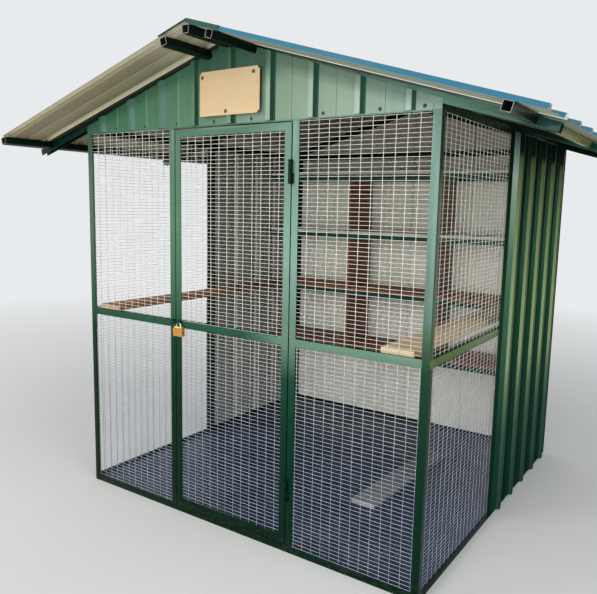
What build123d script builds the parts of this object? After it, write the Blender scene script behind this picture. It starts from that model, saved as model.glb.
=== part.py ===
"""A small garden aviary: a welded frame of steel angle with mesh fronts and a sheet roof.

Millimetres, +Z up, +X along the front to the right, +Y back to the closed rear end.
The drawing counts from the ground point at the outer left front corner of the frame.
When a piece is saved it moves so that the origin is the middle of the footprint.
"""
import math
import os

from build123d import *

os.makedirs("parts", exist_ok=True)

# The frame
width = 2000.0            # outer, left to right over the corner posts
depth = 2020.0            # outer, front to back over the corner posts
frame_height = 1972.0     # top of the top rails
tube = 35.0               # legs of the angle in the walls, side of the tube in the roof
angle_thick = 4.0         # thickness of the angle's two legs
tube_wall = 2.0           # wall of the square tube of rafters and purlins
mid_rail_top = 1005.0
side_post_y = 940.0       # front face of the post where the mesh ends and the sheet starts

# The door, hung on its right side
door_post_left = 613.0    # left face of the left door post
door_post_right = 1340.0  # left face of the right door post
door_gap = 4.0            # at the lock side
hinge_gap = 5.0           # at the hinge side, top and bottom
hinge_radius = 9.5
hinge_half = 50.0         # each half of a hinge is this tall
hinge_low = 295.0         # middle of the lower hinge above the ground
hinge_below_top = 247.0   # middle of the upper hinge below the top of the frame
hinge_pin_radius = 5.0
pin_clearance = 0.2

# The roof
slope = 0.30              # rise over run
seat = 11.5               # how far the rafters are let down over the top rails
rafter_drop = 8.6         # from the tops of the purlins down to the tops of the rafters
purlin_near = 132.0       # from the ridge to the purlins beside it
purlin_eave = 1325.0      # from the ridge to the purlins at the eaves
rafter_tip = 1420.0       # from the ridge to the end of a rafter
eaves = (1352.0, 1435.0)  # from the ridge to the edge of a roof sheet, left and right
verge = 280.0             # how far the roof stands out in front
purlin_out = 7.0          # purlin ends ahead of the edge of the sheet in front
purlin_inset = 3.0        # purlin ends behind the edge of the sheet at the back

# The trapezoid sheet
sheet = 1.0
rib_pitch = 218.0
rib_height = 18.0
rib_top = 23.0
rib_foot = 43.0
rear_verge = 140.0        # about how far the roof stands out behind
cap_reach = 168.0

# The walls
gable_bottom = frame_height - 29.0
wall_sheet_ahead = 82.0   # how far the right wall sheet starts ahead of the left one
wall_sheet_bottom = 6.0
wall_first_rib = 1026.0   # middle of the first rib of the wall sheets
beyond = 60.0             # how far a cutting shape reaches past a sheet

# The mesh, drawn here with every third upright and every eighth row of wire
wire = 3.0
mesh_back = angle_thick   # from the outer face of the frame to the wires
mesh_lap = 15.0           # how far a panel reaches behind the legs of the angle
mesh_pitch_across = 148.5
mesh_pitch_up = 152.0

# The boards
floor_thickness = 15.0
floor_inset = 8.0         # from the outer face of the frame; its edge is rebated over the sills
rack_front = 1600.0
rack_tube = 30.0
rack_wall = 1.5
rack_low = 600.0          # top of the lowest rack frame; the next lies level with the mid rails
rack_below_top = 172.0    # top of the highest rack frame below the top of the frame
rack_step = 400.0         # from the highest rack frame down to the one below it
board = 18.0
divider_left = 690.0
divider_right = 1322.0
side_board = 145.0
side_board_thickness = 25.0
side_board_inset = 70.0   # from the outer face of the frame
plank_long = 900.0
plank_wide = 140.0
plank_thick = 20.0
plank_x = 1440.0
plank_y = 1050.0
plank_turn = -3.0         # degrees, seen from above

mid = width / 2
angle = math.degrees(math.atan(slope))
rise_tube = tube / math.cos(math.radians(angle))
top_inside = frame_height - tube
mid_rail_bottom = mid_rail_top - tube
rise_drop = rafter_drop / math.cos(math.radians(angle))
ridge_soffit = frame_height - seat + slope * mid + rise_tube + rise_drop
opening_left = door_post_left + tube
opening_right = door_post_right
hinge_heights = (hinge_low, frame_height - hinge_below_top)
wall_sheet_fronts = (side_post_y, side_post_y - wall_sheet_ahead)   # left and right
roof_ribs = 1 + round((verge + depth + rear_verge - rib_foot) / rib_pitch)
roof_back = -verge + (roof_ribs - 1) * rib_pitch + rib_foot


def soffit(offset):
    """Height of the underside of the roof sheets at a distance from the ridge line."""
    return ridge_soffit - slope * abs(offset)


def block(x0, x1, y0, y1, z0, z1):
    """A plain box between two corners."""
    return Pos((x0 + x1) / 2, (y0 + y1) / 2, (z0 + z1) / 2) * Box(x1 - x0, y1 - y0, z1 - z0)


def bar(x0, x1, y0, y1, z0, z1, wall=tube_wall):
    """A square tube, open at the two ends of its longest side."""
    sizes = [x1 - x0, y1 - y0, z1 - z0]
    long_way = sizes.index(max(sizes))
    inner = [s - 2 * wall for s in sizes]
    inner[long_way] = sizes[long_way] + 2
    centre = Pos((x0 + x1) / 2, (y0 + y1) / 2, (z0 + z1) / 2)
    return centre * (Box(*sizes) - Box(*inner))


def angle_bar(x0, x1, y0, y1, z0, z1, legs):
    """A bar of steel angle: the two named sides of its outer box, each a flat leg."""
    t = angle_thick
    plates = {
        "left": (x0, x0 + t, y0, y1, z0, z1), "right": (x1 - t, x1, y0, y1, z0, z1),
        "front": (x0, x1, y0, y0 + t, z0, z1), "back": (x0, x1, y1 - t, y1, z0, z1),
        "bottom": (x0, x1, y0, y1, z0, z0 + t), "top": (x0, x1, y0, y1, z1 - t, z1)}
    first, second = legs
    return block(*plates[first]) + block(*plates[second])


def flat_frame(x0, x1, y0, y1, top):
    """A flat welded frame of small tube, hollow all round, with a drain hole below."""
    low = top - rack_tube
    shape = block(x0, x1, y0, y1, low, top)
    shape -= block(x0 + rack_tube, x1 - rack_tube, y0 + rack_tube, y1 - rack_tube, low - 5, top + 5)
    w = rack_wall
    core = block(x0 + w, x1 - w, y0 + w, y1 - w, low + w, top - w)
    inside = rack_tube - w
    core -= block(x0 + inside, x1 - inside, y0 + inside, y1 - inside, low, top)
    return shape - core - Pos(x0 + 2 * rack_tube, y0 + rack_tube / 2, low) * Cylinder(3, 4 * w)


def save(name, shape):
    """Write one node, named as it is in the packed part, about the middle of the footprint."""
    solids = [Pos(-width / 2, -depth / 2, 0) * s for s in shape.solids()]
    shape = solids[0] if len(solids) == 1 else Compound(children=solids)
    shape.label = name
    export_step(shape, f"parts/{name}.step")


def several(*shapes):
    """Like pieces that stand apart share one node."""
    solids = [s for shape in shapes for s in shape.solids()]
    return Compound(children=solids)


# Posts, sills and rails
front, back = (0, tube), (depth - tube, depth)
left, right = (0, tube), (width - tube, width)
across, along = (tube, width - tube), (tube, depth - tube)
low, high = (0, tube), (top_inside, frame_height)
middle = (mid_rail_bottom, mid_rail_top)
between = (tube, top_inside)
save("post_front_left", angle_bar(*left, *front, 0, frame_height, ("front", "left")))
save("post_front_right", angle_bar(*right, *front, 0, frame_height, ("front", "right")))
save("post_rear_left", angle_bar(*left, *back, 0, frame_height, ("back", "left")))
save("post_rear_right", angle_bar(*right, *back, 0, frame_height, ("back", "right")))
save("front_sill", angle_bar(*across, *front, *low, ("front", "bottom")))
save("rear_sill", angle_bar(*across, *back, *low, ("back", "bottom")))
save("side_sills", several(
    angle_bar(*left, *along, *low, ("left", "bottom")),
    angle_bar(*right, *along, *low, ("right", "bottom"))))
save("top_rail_front", angle_bar(*across, *front, *high, ("front", "top")))
save("top_rail_rear", angle_bar(*across, *back, *high, ("back", "top")))
save("top_rails_side", several(
    angle_bar(*left, *along, *high, ("left", "top")),
    angle_bar(*right, *along, *high, ("right", "top"))))
save("door_post_left", angle_bar(door_post_left, opening_left, *front, *between, ("front", "right")))
save("door_post_right", angle_bar(opening_right, opening_right + tube, *front, *between,
                                  ("front", "left")))
side_post = (side_post_y, side_post_y + tube)
save("side_posts", several(
    angle_bar(*left, *side_post, *between, ("left", "back")),
    angle_bar(*right, *side_post, *between, ("right", "back"))))
save("front_mid_rails", several(
    angle_bar(tube, door_post_left, *front, *middle, ("front", "top")),
    angle_bar(opening_right + tube, width - tube, *front, *middle, ("front", "top"))))
side_rails = [
    angle_bar(*place, y0, y1, *middle, (side, "top"))
    for place, side in ((left, "left"), (right, "right"))
    for y0, y1 in ((tube, side_post[0]), (side_post[1], depth - tube))]
save("side_mid_rails", several(*side_rails))
save("rear_mid_rail", angle_bar(*across, *back, *middle, ("back", "top")))


# Purlins lie on the slope with their tops under the sheet; the ridge purlin stands upright
def sloped(offset_from, offset_to, y0, y1, low, high, side):
    """A box on the roof slope: two distances from the ridge, and heights off the soffit plane."""
    run = (offset_to - offset_from) / math.cos(math.radians(angle))
    shape = Box(run, y1 - y0, high - low)
    shape = Pos(run / 2, 0, (low + high) / 2) * shape
    start = Pos(offset_from, (y0 + y1) / 2, soffit(offset_from))
    shape = start * Rot(0, angle, 0) * shape
    if side < 0:
        shape = mirror(shape, about=Plane.YZ)
    return Pos(mid, 0, 0) * shape


def sloped_tube(offset, y0, y1, side, hollow=True):
    """A purlin centred at a distance from the ridge."""
    half = tube / 2 * math.cos(math.radians(angle))
    outer = sloped(offset - half, offset + half, y0, y1, -tube, 0, side)
    if not hollow:
        return outer
    inset = tube_wall * math.cos(math.radians(angle))
    inner = sloped(offset - half + inset, offset + half - inset, y0 - 1, y1 + 1,
                   -tube + tube_wall, -tube_wall, side)
    return outer - inner


purlin_y0 = -verge - purlin_out
purlin_y1 = roof_back - purlin_inset
ridge_top = soffit(tube / 2)
ridge_box = (mid - tube / 2, mid + tube / 2, purlin_y0, purlin_y1, ridge_top - tube, ridge_top)
save("purlin_ridge", bar(*ridge_box))
save("purlins_near_ridge", several(
    *(sloped_tube(purlin_near, purlin_y0, purlin_y1, s) for s in (-1, 1))))
save("purlins_eave", several(
    *(sloped_tube(purlin_eave, purlin_y0, purlin_y1, s) for s in (-1, 1))))
purlin_envelope = [block(*ridge_box)] + [
    sloped_tube(o, purlin_y0, purlin_y1, s, hollow=False)
    for o in (purlin_near, purlin_eave) for s in (-1, 1)]


# Rafters are notched under the purlins and let down over the rails
def rafters(y0):
    """Both slopes of one rafter line, with the room of the purlins cut out of their tops."""
    found = []
    rails = block(0, width, y0, y0 + tube, top_inside, frame_height)
    top = -rafter_drop
    for side in (-1, 1):
        outer = sloped(0, rafter_tip, y0, y0 + tube, top - tube, top, side)
        inner = sloped(-5, rafter_tip + 5, y0 + tube_wall, y0 + tube - tube_wall,
                       top - tube + tube_wall, top - tube_wall, side)
        shape = outer - inner - rails
        for envelope in purlin_envelope:
            shape = shape - envelope
        edges = sorted((mid, mid + side * 2 * rafter_tip))
        keep = block(*edges, y0 - tube, y0 + 2 * tube, 0, 2 * ridge_soffit)
        found += [s for s in (shape & keep).solids() if s.volume > 2000]
    return several(*found)


save("rafters_front", rafters(0))
save("rafters_middle", rafters(side_post_y))
save("rafters_rear", rafters(depth - tube))


# Trapezoid sheet
def offset_line(points, distance):
    """A bent line moved sideways by a distance, with mitred corners."""
    moved = []
    for i, (x, y) in enumerate(points):
        normals = []
        for a, b in ((i - 1, i), (i, i + 1)):
            if a < 0 or b >= len(points):
                continue
            dx, dy = points[b][0] - points[a][0], points[b][1] - points[a][1]
            length = math.hypot(dx, dy)
            normals.append((-dy / length, dx / length))
        nx = sum(n[0] for n in normals)
        ny = sum(n[1] for n in normals)
        size = math.hypot(nx, ny)
        nx, ny = nx / size, ny / size
        reach = distance / (nx * normals[0][0] + ny * normals[0][1])
        moved.append((x + nx * reach, y + ny * reach))
    return moved


def sheet_profile(start, end, centres, bare_first=False, bare_last=False):
    """Closed outline of a ribbed sheet seen from its end: pans at 0, ribs standing up.

    A bare first or last rib ends with its flat top and has no outer flank.
    """
    line = []
    for c in centres:
        line += [(c - rib_foot / 2, 0), (c - rib_top / 2, rib_height),
                 (c + rib_top / 2, rib_height), (c + rib_foot / 2, 0)]
    if start < line[0][0] - 0.5:
        line.insert(0, (start, 0))
    if end > line[-1][0] + 0.5:
        line.append((end, 0))
    line = line[1 if bare_first else 0:-1 if bare_last else None]
    return line + list(reversed(offset_line(line, sheet)))


def solid_of(outline, plane, length):
    """The outline drawn on a plane and pushed along its normal."""
    face = make_face(plane * Polyline(*outline, close=True))
    return extrude(face, amount=length, dir=plane.z_dir)


# Both roof sheets are alike and turned round: the last rib at one end has no outer flank
roof_centres = [-verge + rib_foot / 2 + i * rib_pitch for i in range(roof_ribs)]
for side, name, eave in ((-1, "roof_sheet_left", eaves[0]), (1, "roof_sheet_right", eaves[1])):
    down = Vector(side, 0, -slope).normalized()
    up = Vector(side * slope, 0, 1).normalized()
    start = 12.0
    origin = Vector(mid + side * start, 0, soffit(start))
    run = (eave - start) / math.cos(math.radians(angle))
    plane = Plane(origin=origin, x_dir=(0, 1, 0), z_dir=Vector(0, 1, 0).cross(up))
    outline = sheet_profile(-verge, roof_back, roof_centres, side < 0, side > 0)
    shape = solid_of(outline, plane, run if plane.z_dir.dot(down) > 0 else -run)
    save(name, shape)

# The ridge cap lies on the ribs; at each end one side of it is turned down to a lip
cap_low = rib_height + sheet
cap_z = ridge_soffit + cap_low / math.cos(math.radians(angle))
cap_line = [(-cap_reach, cap_z - slope * cap_reach), (0, cap_z), (cap_reach, cap_z - slope * cap_reach)]
cap_plane = Plane(origin=(mid, -verge - 2 * sheet, 0), x_dir=(1, 0, 0), z_dir=(0, -1, 0))
cap_outline = cap_line + list(reversed(offset_line(cap_line, sheet)))
cap_length = roof_back + verge + 4 * sheet
cap = solid_of(cap_outline, cap_plane, -cap_length)
lip_drop = rib_height
front_edge, rear_edge = cap_line[1:], cap_line[:2]
for edge, y in ((front_edge, 0), (rear_edge, cap_length - sheet)):
    lip_line = [(x, z - lip_drop) for x, z in edge]
    cap += Pos(0, y, 0) * solid_of(edge + list(reversed(lip_line)), cap_plane, -sheet)
save("ridge_cap", cap)


# Gable sheet and rear wall, cut to the slope and round the purlins
def gable_cut(outline_low, low_offset, y_face, outward):
    """A ribbed sheet on a gable wall, trimmed along both slopes."""
    centres = [mid + (i - 4) * rib_pitch for i in range(9)]
    z_dir = (0, 0, 1)
    plane = Plane(origin=(0, y_face, outline_low), x_dir=(1, 0, 0), z_dir=z_dir)
    line = sheet_profile(0, width, centres)
    line = [(x, outward * y) for x, y in line]
    shape = solid_of(line, plane, ridge_soffit - outline_low + 5)
    edge = soffit(mid) - rise_tube + low_offset
    top = ridge_soffit - 3
    trim_line = [(-10, edge - 0.33 * 10), (mid, top), (width + 10, edge - 0.33 * 10),
                 (width + 10, outline_low - 5), (-10, outline_low - 5)]
    trim_plane = Plane(origin=(0, y_face + beyond, 0), x_dir=(1, 0, 0), z_dir=(0, -1, 0))
    shape = shape & solid_of(trim_line, trim_plane, 2 * beyond)
    for offset in (-purlin_near, 0, purlin_near):
        grow = 2.0
        if offset:
            s = 1 if offset > 0 else -1
            half = (tube / 2 + grow) * math.cos(math.radians(angle))
            hole = sloped(abs(offset) - half, abs(offset) + half, y_face - beyond, y_face + beyond,
                          -tube - grow, 40, s)
        else:
            hole = block(mid - tube / 2 - grow, mid + tube / 2 + grow, y_face - beyond, y_face + beyond,
                         ridge_top - tube - grow, ridge_top + beyond)
        shape = shape - hole
    return several(*[s for s in shape.solids() if s.volume > 2000])


save("gable_sheet", gable_cut(gable_bottom, 10, 0, -1))
save("rear_wall_sheet", gable_cut(wall_sheet_bottom, 10, depth, 1))

side_centres = [wall_first_rib + i * rib_pitch for i in range(5)]
side_top = frame_height - 5
for side, name, start in ((-1, "wall_sheet_left", wall_sheet_fronts[0]),
                          (1, "wall_sheet_right", wall_sheet_fronts[1])):
    plane = Plane(origin=(0 if side < 0 else width, 0, wall_sheet_bottom),
                  x_dir=(0, 1, 0), z_dir=(0, 0, 1))
    line = [(y, -side * z) for y, z in sheet_profile(start, depth + sheet, side_centres)]
    shape = solid_of(line, plane, side_top - wall_sheet_bottom)
    for y in (side_post_y, depth - tube):       # notches for the rafters let down over the rails
        shape -= block(-30, width + 30, y - 2, y + tube + 2, frame_height - seat - 2, frame_height)
    save(name, shape)


# Mesh panels: flat lattices of thin square bars, fused where they cross
def wire_lines(start, end, pitch):
    """Middles of the wires between two edges, with the outer two along the edges."""
    count = max(2, round((end - start) / pitch))
    step = (end - start - wire) / count
    return [start + wire / 2 + i * step for i in range(count + 1)]


def mesh_field(across0, across1, z0, z1, plate):
    """One field as a thin plate with its cells cut away, standing in a plane."""
    def cell(a, b, c, d):
        return plate * Pos((a + b) / 2, (c + d) / 2) * Rectangle(b - a, d - c)

    uprights = wire_lines(across0, across1, mesh_pitch_across)
    rows = wire_lines(z0, z1, mesh_pitch_up)
    half = wire / 2
    cells = [cell(a + half, b - half, c + half, d - half)
             for a, b in zip(uprights, uprights[1:])
             for c, d in zip(rows, rows[1:])]
    return extrude(cell(across0, across1, z0, z1) - cells, amount=wire, dir=plate.z_dir)


left_plate = Plane(origin=(mesh_back, 0, 0), x_dir=(0, 1, 0), z_dir=(1, 0, 0))
right_plate = Plane(origin=(width - mesh_back - wire, 0, 0), x_dir=(0, 1, 0), z_dir=(1, 0, 0))
front_plate = Plane(origin=(0, mesh_back + wire, 0), x_dir=(1, 0, 0), z_dir=(0, -1, 0))
lap = mesh_lap
fields = ((tube - lap, mid_rail_bottom + lap), (mid_rail_top, top_inside + lap))
save("mesh_front_left", several(
    *(mesh_field(tube - lap, door_post_left + lap, *z, front_plate) for z in fields)))
save("mesh_front_right", several(
    *(mesh_field(opening_right + tube - lap, width - tube + lap, *z, front_plate) for z in fields)))
save("mesh_side_left", several(
    *(mesh_field(tube - lap, side_post_y + lap, *z, left_plate) for z in fields)))
save("mesh_side_right", several(
    *(mesh_field(tube - lap, side_post_y + lap, *z, right_plate) for z in fields)))

# The door
door_x0 = opening_left + door_gap
door_x1 = opening_right - hinge_gap
door_z0 = tube + hinge_gap
door_z1 = top_inside - hinge_gap
stile_in = door_x0 + tube
stile_out = door_x1 - tube
door_fields = ((door_z0 + tube, mid_rail_bottom), (mid_rail_top, door_z1 - tube))
door_frame = block(door_x0, door_x1, 0, tube, door_z0, door_z1)
inside = angle_thick
door_frame -= block(door_x0 + inside, door_x1 - inside, inside, tube + 1,
                    door_z0 + inside, door_z1 - inside)
for z0, z1 in door_fields:
    door_frame -= block(stile_in, stile_out, -1, tube, z0, z1)
door_frame += block(door_x0 + inside / 2, door_x1 - inside / 2, inside / 2, tube,
                    mid_rail_top - inside, mid_rail_top)
save("door_frame", door_frame)
door_mesh_fields = ((door_fields[0][0] - lap, door_fields[0][1] + lap),
                    (door_fields[1][0], door_fields[1][1] + lap))
save("door_mesh", several(
    *(mesh_field(stile_in - lap, stile_out + lap, *z, front_plate) for z in door_mesh_fields)))

# Weld-on hinges: the lower half and its pin on the post, the upper half on the door
hinge_x = (door_x1 + opening_right) / 2
hinge_y = -hinge_radius
lower_halves, upper_halves = [], []
for z in hinge_heights:
    lug = 4.0
    low = Pos(hinge_x, hinge_y, z - hinge_half / 2) * Cylinder(hinge_radius, hinge_half)
    low += block(hinge_x, opening_right + 12, -lug, 0, z - hinge_half, z - 4)
    low += Pos(hinge_x, hinge_y, z + 19) * Cylinder(hinge_pin_radius, 42)
    lower_halves.append(low)
    high = Pos(hinge_x, hinge_y, z + 1 + hinge_half / 2) * Cylinder(hinge_radius, hinge_half)
    high += block(door_x1 - 12, hinge_x, -lug, 0, z + 5, z + 1 + hinge_half)
    high -= Pos(hinge_x, hinge_y, z + 21) * Cylinder(hinge_pin_radius + pin_clearance, 44)
    upper_halves.append(high)
save("hinge_halves_fixed", several(*lower_halves))
save("hinge_halves_door", several(*upper_halves))


# Lock: an eye on the post, an eye on the door, and the padlock hanging in the door's eye
def eye(x0, z):
    """A small plate with a hole, standing out from the front of a post or stile."""
    plate = block(x0, x0 + 4, -27, 0, z - 10, z + 14)
    return plate - Pos(x0 + 2, -16, z) * Rot(0, 90, 0) * Cylinder(eye_hole, 12)


lock_z = 998.0
eye_hole = 5.5
lock_x = stile_in - 2
save("lock_eye_post", eye(opening_left - 8, lock_z))
save("lock_eye_door", eye(lock_x - 2, lock_z))
shackle = 3.5
half_span = 14.0
hang_z = lock_z - (eye_hole - shackle - 0.5)     # the shackle rests in the bottom of the eye
body_top = hang_z - 24
body = block(lock_x - 31, lock_x + 31, -26, -6, body_top - 41, body_top)
body = chamfer(body.edges().filter_by(Axis.Y), 5)
body += block(lock_x - 24, lock_x + 24, -24, -8, body_top - 2, body_top + 8)   # its shoulder
shackle_path = Plane(origin=(lock_x, -16, body_top), x_dir=(1, 0, 0), z_dir=(0, -1, 0)) * (
    Line((-half_span, -4), (-half_span, 10))
    + ThreePointArc((-half_span, 10), (0, 10 + half_span), (half_span, 10))
    + Line((half_span, 10), (half_span, -4)))
ring_plane = Plane(origin=(lock_x - half_span, -16, body_top - 4), x_dir=(1, 0, 0), z_dir=(0, 0, 1))
ring = ring_plane * RegularPolygon(shackle, 8)
padlock = body + sweep(ring, path=shackle_path)
save("padlock", padlock)

# Plaque over the door, with its corners cut
plaque_x0, plaque_x1, plaque_z0, plaque_z1 = 833.0, 1178.0, 1978.0, 2174.0
cut = 14.0
plaque_outline = [
    (plaque_x0, plaque_z0), (plaque_x1 - cut, plaque_z0), (plaque_x1, plaque_z0 + cut),
    (plaque_x1, plaque_z1 - cut), (plaque_x1 - cut, plaque_z1), (plaque_x0 + cut, plaque_z1),
    (plaque_x0, plaque_z1 - cut)]
plaque_back = -rib_height - sheet
plaque_plane = Plane(origin=(0, plaque_back, 0), x_dir=(1, 0, 0), z_dir=(0, -1, 0))
save("plaque", solid_of(plaque_outline, plaque_plane, 4))

# Floor and boards
floor_panel = block(tube, width - tube, tube, depth - tube, 0, floor_thickness)
floor_panel += block(floor_inset, width - floor_inset, floor_inset, depth - floor_inset,
                     angle_thick, floor_thickness)
save("floor_panel", floor_panel)
plank = Box(plank_wide, plank_long, plank_thick)
plank = Pos(plank_x, plank_y, floor_thickness + plank_thick / 2) * Rot(0, 0, plank_turn) * plank
save("floor_plank", plank)

rack_back = depth - tube
rack_top = frame_height - rack_below_top
rack_levels = (rack_low, mid_rail_top, rack_top - rack_step, rack_top)
divider_places = (divider_left, divider_right)
frames = []
for level in rack_levels:
    # one frame lies between the mid rails, the others reach into the angle of the rear posts
    inset = tube if abs(level - mid_rail_top) < 1 else angle_thick
    frames.append(flat_frame(inset, width - inset, rack_front, depth - inset, level))
save("rack_frames", several(*frames))

dividers = [
    block(x - board / 2, x + board / 2, rack_front + rack_tube, rack_back - rack_tube,
          rack_levels[0] + board, rack_levels[-1])
    for x in divider_places]
save("rack_dividers", several(*dividers))
shelves = []
for level in rack_levels:
    one = block(tube, width - tube, rack_front + rack_tube / 2, rack_back, level, level + board)
    for divider in dividers:
        one -= divider
    shelves.append(one)
save("rack_shelves", several(*shelves))

board_back = rack_front + rack_tube / 2 - 3
board_front = mesh_back + wire + 1
side_board_places = (("side_board_left", side_board_inset),
                     ("side_board_right", width - side_board_inset - side_board))
for name, x0 in side_board_places:
    save(name, block(x0, x0 + side_board, board_front, board_back,
                     mid_rail_top, mid_rail_top + side_board_thickness))
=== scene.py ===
# %% [markdown]
# # Dressing a small walk-in aviary
#
# The construction model brings every bar, sheet and board at its real size and place, in
# metres. The origin is the middle of the footprint on the ground, +X runs along the front to
# the right and +Y back to the closed rear wall. Nothing of it is moved here. What follows
# gives it wire, weld beads, folded sheets, screws, grain and paint.

# %% Load the construction model
import math

import bmesh
import bpy
from mathutils import Matrix, Vector, noise


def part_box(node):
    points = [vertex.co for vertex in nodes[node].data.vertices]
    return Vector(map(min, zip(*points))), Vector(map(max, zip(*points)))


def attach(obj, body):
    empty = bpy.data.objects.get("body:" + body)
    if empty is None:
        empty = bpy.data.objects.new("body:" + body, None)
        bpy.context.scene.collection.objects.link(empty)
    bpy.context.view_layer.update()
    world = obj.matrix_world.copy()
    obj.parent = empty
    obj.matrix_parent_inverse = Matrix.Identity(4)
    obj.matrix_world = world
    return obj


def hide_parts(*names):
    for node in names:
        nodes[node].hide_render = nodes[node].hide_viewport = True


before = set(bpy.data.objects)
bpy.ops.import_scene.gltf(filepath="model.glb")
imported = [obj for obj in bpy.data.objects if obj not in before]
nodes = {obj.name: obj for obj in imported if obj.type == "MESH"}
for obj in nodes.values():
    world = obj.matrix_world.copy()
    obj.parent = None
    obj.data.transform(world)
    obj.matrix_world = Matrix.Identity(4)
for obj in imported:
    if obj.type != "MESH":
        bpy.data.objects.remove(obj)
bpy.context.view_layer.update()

# %% [markdown]
# ## The camera
#
# The photograph was taken from the right of the door, at eye height and with a small roll. A
# camera is easiest to read as four plain facts: where it stands, how far it turns left, how
# far it looks down and how much it rolls. Multiplying the three turns in that order gives its
# matrix, with no target object and no constraint.

# %% Camera
camera_data = bpy.data.cameras.new("view")
camera_data.sensor_width = 36.0
camera_data.lens = 38.66
camera_data.clip_start = 0.05
camera = bpy.data.objects.new("view", camera_data)
bpy.context.scene.collection.objects.link(camera)
stand = Vector((1.925, -3.278, 1.582))
turn_left, look_down, roll = (math.radians(a) for a in (34.15, 8.07, 1.18))
camera.matrix_world = (
    Matrix.Translation(stand)
    @ Matrix.Rotation(turn_left, 4, "Z")
    @ Matrix.Rotation(math.pi / 2 - look_down, 4, "X")
    @ Matrix.Rotation(roll, 4, "Z"))
bpy.context.scene.camera = camera
bpy.context.scene.view_settings.view_transform = "Standard"
print("camera at", tuple(stand), "lens", camera_data.lens)

# %% [markdown]
# ## Writing shader sums as Python
#
# A finish is a small calculation: a tone, plus some grain, less some dirt. Wiring that by hand
# hides the sum, so one class wraps a socket and gives it the plain operators, also with a
# number on the left, as in 1 - mask. Colours go through Mix nodes, because a Math node would
# turn them grey. Everything else comes from one method, node, which sets a node's own options
# first and its sockets after.

# %% Sockets that can be added and multiplied
class Value:
    """An output socket in a sum."""

    def __init__(self, owner, socket):
        self.owner, self.socket = owner, socket

    def math(self, operation, *others, clamp=False):
        settings = {"operation": operation, "use_clamp": clamp}
        return self.owner.node("ShaderNodeMath", settings, dict(enumerate((self, *others))))

    def __add__(self, other):
        return self.math("ADD", other)

    def __sub__(self, other):
        return self.math("SUBTRACT", other)

    def __rsub__(self, other):
        return self.math("MULTIPLY_ADD", -1.0, other)

    def __mul__(self, other):
        return self.math("MULTIPLY", other)

    __radd__ = __add__
    __rmul__ = __mul__

    def clamp(self):
        return self.math("ADD", 0.0, clamp=True)


# %% A tree of nodes, and a finish: the tree of one material
class Tree:
    """A node tree with one method for any node and short ways to the common ones."""

    def __init__(self, tree):
        self.tree = tree

    def node(self, kind, settings=None, sockets=None, out=0):
        made = self.tree.nodes.new(kind)
        for name, value in (settings or {}).items():
            if name == "stops":
                row = made.color_ramp.elements
                for k, (place, colour) in enumerate(value):
                    stop = row[k] if k < 2 else row.new(place)
                    stop.position, stop.color = place, (*colour, 1)
            else:
                setattr(made, name, value)
        for name, value in (sockets or {}).items():
            if isinstance(value, Value):
                self.tree.links.new(value.socket, made.inputs[name])
            else:
                made.inputs[name].default_value = value
        return Value(self, made.outputs[out])

    def place(self, stretch=(1, 1, 1)):
        """The point on the piece, in metres, squeezed along each axis."""
        here = self.node("ShaderNodeTexCoord", out="Object")
        return self.node("ShaderNodeVectorMath", {"operation": "MULTIPLY"}, {0: here, 1: stretch})

    def metres(self, axis):
        """How far along one axis the point lies: 0 across, 1 back, 2 up."""
        return self.node("ShaderNodeSeparateXYZ", None, {0: self.place()}, out=axis)

    def noise(self, scale, detail=2.0, stretch=(1, 1, 1), rough=0.5):
        return self.node("ShaderNodeTexNoise", None, {
            "Vector": self.place(stretch), "Scale": scale, "Detail": detail, "Roughness": rough})

    def between(self, value, low, high):
        """0 at low, 1 at high, and a straight line between."""
        return self.node("ShaderNodeMapRange", None, {0: value, 1: low, 2: high, 3: 0.0, 4: 1.0})

    def blend(self, share, first, second):
        """A colour that goes from the first to the second as the share goes from 0 to 1."""
        one, two = (c if isinstance(c, Value) else (*c, 1) for c in (first, second))
        return self.node("ShaderNodeMix", {"data_type": "RGBA"}, {0: share, 6: one, 7: two}, out=2)

    def graded(self, axis, stops):
        """A colour along an axis. A stop is a place in metres and three tones in thousandths."""
        first, last = stops[0][0], stops[-1][0]
        share = self.between(self.metres(axis), first, last)
        span = last - first
        row = [((place - first) / span, [c / 1000 for c in colour]) for place, *colour in stops]
        return self.node("ShaderNodeValToRGB", {"stops": row}, {"Fac": share})

    def seen_directly(self):
        """1 for rays from the camera, off mirrors or through glass, 0 for light that falls on things."""
        kinds = ("Camera", "Glossy", "Transmission")
        seen, mirrored, through = (self.node("ShaderNodeLightPath", out=f"Is {kind} Ray") for kind in kinds)
        return (seen + mirrored + through).clamp()


class Finish(Tree):
    """A Principled material. The names given with it are sockets that keep one value."""

    def __init__(self, name, **constants):
        self.material = bpy.data.materials.new(name)
        self.material.use_nodes = True
        super().__init__(self.material.node_tree)
        self.shader = self.tree.nodes["Principled BSDF"]
        for socket, value in constants.items():
            self.shader.inputs[socket.replace("_", " ")].default_value = value

    def wear(self, socket, value):
        self.tree.links.new(value.socket, self.shader.inputs[socket])

    def bump(self, value, depth, strength=1.0):
        relief = {"Height": value, "Distance": depth, "Strength": strength}
        self.wear("Normal", self.node("ShaderNodeBump", None, relief))
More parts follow.
